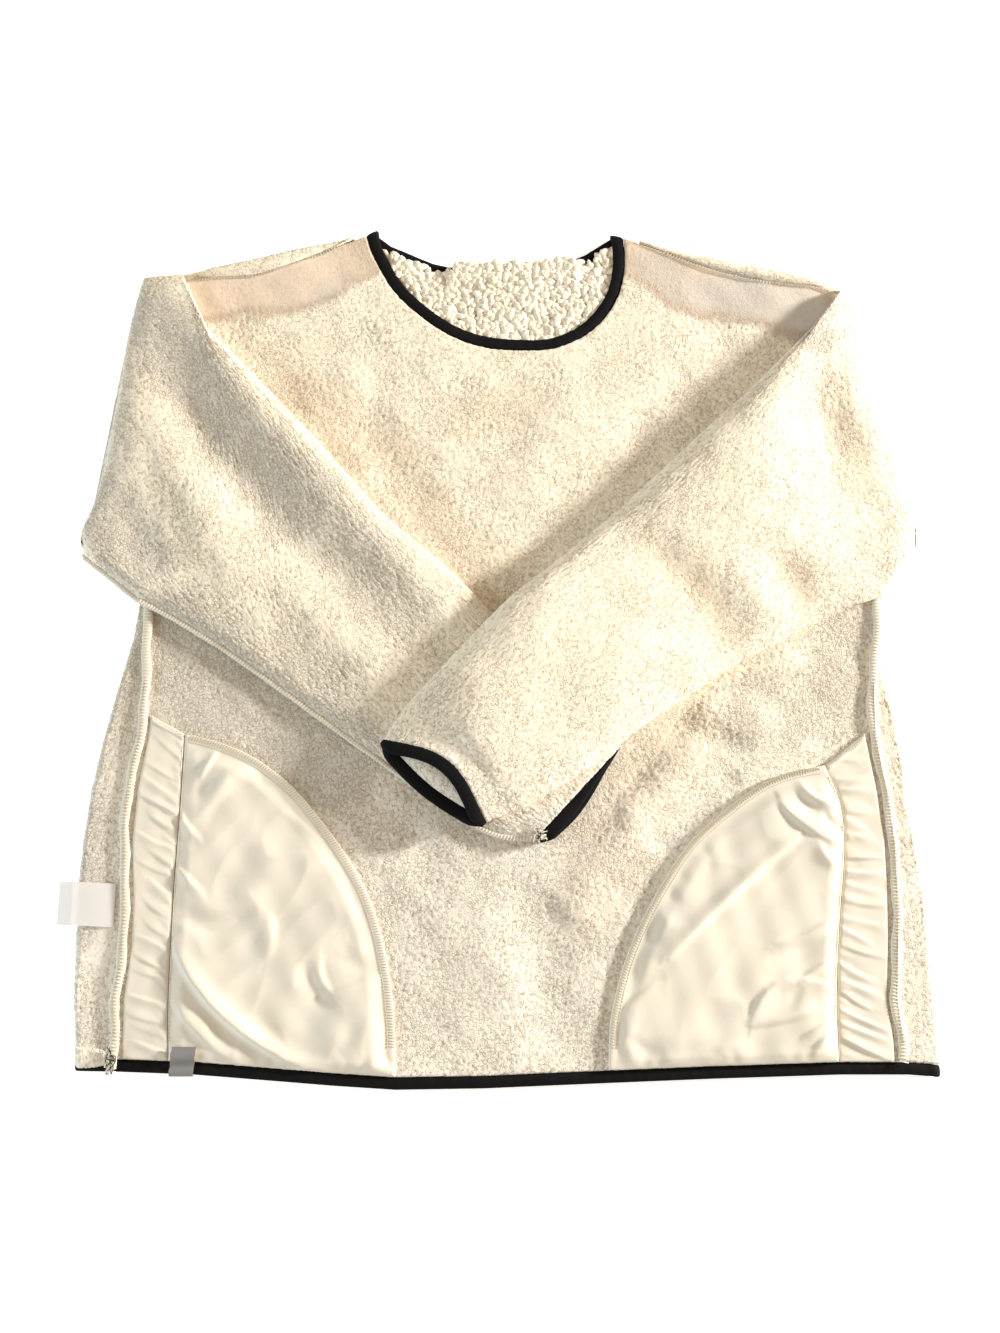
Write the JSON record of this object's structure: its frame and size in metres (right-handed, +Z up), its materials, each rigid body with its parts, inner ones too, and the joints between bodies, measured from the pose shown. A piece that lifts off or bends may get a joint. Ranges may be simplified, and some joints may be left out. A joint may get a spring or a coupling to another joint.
{
  "type": "fleece pullover",
  "caption": "Cream sherpa fleece pullover with black bindings, turned inside out and laid flat with its sleeves folded over the front.",
  "frame": {"origin": "centre of the bounding box in plan, on the surface that the garment lies on", "axes": "+Z up from the surface it lies on, +Y from the hem towards the neck, +X to the right of the picture"},
  "size_m": [0.6745, 0.706, 0.0409],
  "materials": {
    "sherpa_curl": "matte curled pile",
    "sherpa_nap": "matte short pile",
    "binding": "fine knit, slightly shiny",
    "jersey": "smooth matte knit",
    "tab_tape": "satin",
    "label_satin": "satin, slightly see-through"
  },
  "bodies": {
    "root": {"back_panel": "sherpa_curl", "front_panel": "sherpa_nap", "sleeve_left": "sherpa_nap", "sleeve_right": "sherpa_nap", "neck_binding": "binding", "hem_binding": "binding", "cuff_binding_left": "binding", "cuff_binding_right": "binding", "pocket_bag_left": "jersey", "pocket_bag_right": "jersey", "pocket_facing_left": "jersey", "pocket_facing_right": "jersey", "hem_tab": "tab_tape", "care_label": "label_satin"}
  },
  "joints": []
}
